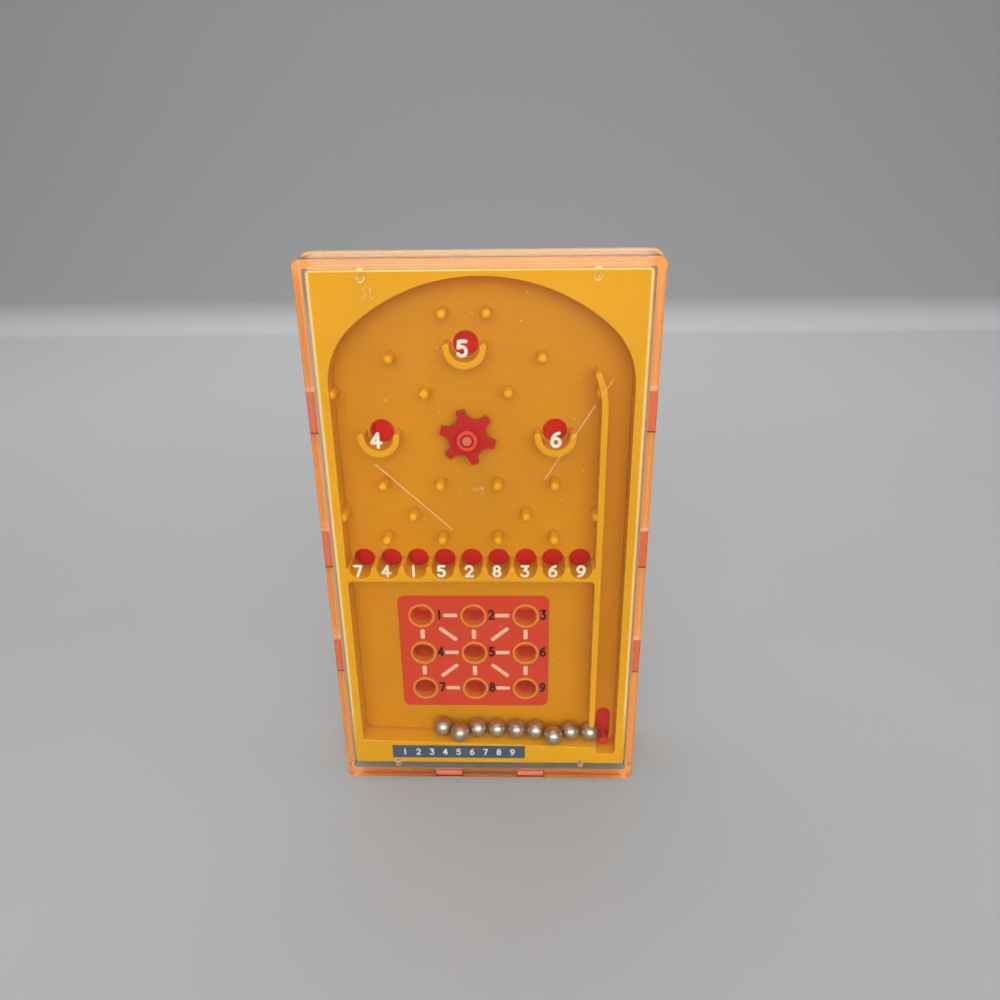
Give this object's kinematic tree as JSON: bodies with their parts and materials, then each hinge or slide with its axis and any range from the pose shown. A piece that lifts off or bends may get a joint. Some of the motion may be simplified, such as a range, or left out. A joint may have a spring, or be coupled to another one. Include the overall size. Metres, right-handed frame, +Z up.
{
  "type": "pocket pinball game",
  "caption": "Flat upright pocket game: clear cover over a yellow pin board with holes, star wheel, score panel, steel balls and a spring-returned launcher.",
  "frame": {"origin": "middle of the flat bottom edge that the game stands on", "axes": "+X to the player's right, -Y out of the clear front, +Z up"},
  "size_m": [0.0712, 0.0196, 0.1239],
  "materials": {
    "clear_plastic": "clear, polished, lightly scratched",
    "yellow_plastic": "satin moulded",
    "red_plastic": "gloss moulded",
    "orange_plastic": "gloss moulded",
    "red_print": "printed, satin",
    "blue_print": "printed, satin",
    "brass": "turned",
    "steel_ball": "polished, slightly dulled",
    "spring_wire": "drawn wire"
  },
  "bodies": {
    "root": {"front_cover": "clear_plastic", "playfield": "yellow_plastic", "track_plate": "red_plastic", "rear_case": "orange_plastic", "grid_label": "red_print", "name_strip": "blue_print", "wheel_axle": "brass", "launcher_spring": "spring_wire"},
    "star_wheel": {"star_wheel": "red_plastic"},
    "launcher": {"launcher": "red_plastic", "thumb_button": "red_plastic"},
    "ball_1": {"ball_1": "steel_ball"},
    "ball_2": {"ball_2": "steel_ball"},
    "ball_3": {"ball_3": "steel_ball"},
    "ball_4": {"ball_4": "steel_ball"},
    "ball_5": {"ball_5": "steel_ball"},
    "ball_6": {"ball_6": "steel_ball"},
    "ball_7": {"ball_7": "steel_ball"},
    "ball_8": {"ball_8": "steel_ball"},
    "ball_9": {"ball_9": "steel_ball"}
  },
  "joints": [
    {"name": "wheel_spin", "type": "hinge", "parent": "root", "child": "star_wheel", "pos_m": [-0.00325, -0.003, 0.08673], "axis": [0, -1, 0], "continuous": true},
    {"name": "launcher_slide", "type": "slide", "parent": "root", "child": "launcher", "axis": [0, 0, 1], "range_m": [0, 0.006], "stiffness_N_per_m": 40, "springref_m": -0.008, "deforming": ["launcher_spring"]},
    {"name": "ball_1_roll", "type": "slide", "parent": "root", "child": "ball_1", "axis": [0.9994, 0, -0.0349], "range_m": [-0.016, 0]},
    {"name": "ball_2_roll", "type": "slide", "parent": "root", "child": "ball_2", "axis": [0.9994, 0, -0.0349], "range_m": [-0.016, 0]},
    {"name": "ball_3_roll", "type": "slide", "parent": "root", "child": "ball_3", "axis": [0.9994, 0, -0.0349], "range_m": [-0.016, 0]},
    {"name": "ball_4_roll", "type": "slide", "parent": "root", "child": "ball_4", "axis": [0.9994, 0, -0.0349], "range_m": [-0.016, 0]},
    {"name": "ball_5_roll", "type": "slide", "parent": "root", "child": "ball_5", "axis": [0.9994, 0, -0.0349], "range_m": [-0.016, 0]},
    {"name": "ball_6_roll", "type": "slide", "parent": "root", "child": "ball_6", "axis": [0.9994, 0, -0.0349], "range_m": [-0.016, 0]},
    {"name": "ball_7_roll", "type": "slide", "parent": "root", "child": "ball_7", "axis": [0.9994, 0, -0.0349], "range_m": [-0.016, 0]},
    {"name": "ball_8_roll", "type": "slide", "parent": "root", "child": "ball_8", "axis": [0.9994, 0, -0.0349], "range_m": [-0.016, 0]},
    {"name": "ball_9_roll", "type": "slide", "parent": "root", "child": "ball_9", "axis": [0.9994, 0, -0.0349], "range_m": [-0.016, 0]}
  ],
  "couplings": [
    {"joint": "ball_2_roll", "follows": "ball_1_roll", "ratio": 1},
    {"joint": "ball_3_roll", "follows": "ball_1_roll", "ratio": 1},
    {"joint": "ball_4_roll", "follows": "ball_1_roll", "ratio": 1},
    {"joint": "ball_5_roll", "follows": "ball_1_roll", "ratio": 1},
    {"joint": "ball_6_roll", "follows": "ball_1_roll", "ratio": 1},
    {"joint": "ball_7_roll", "follows": "ball_1_roll", "ratio": 1},
    {"joint": "ball_8_roll", "follows": "ball_1_roll", "ratio": 1},
    {"joint": "ball_9_roll", "follows": "ball_1_roll", "ratio": 1}
  ]
}
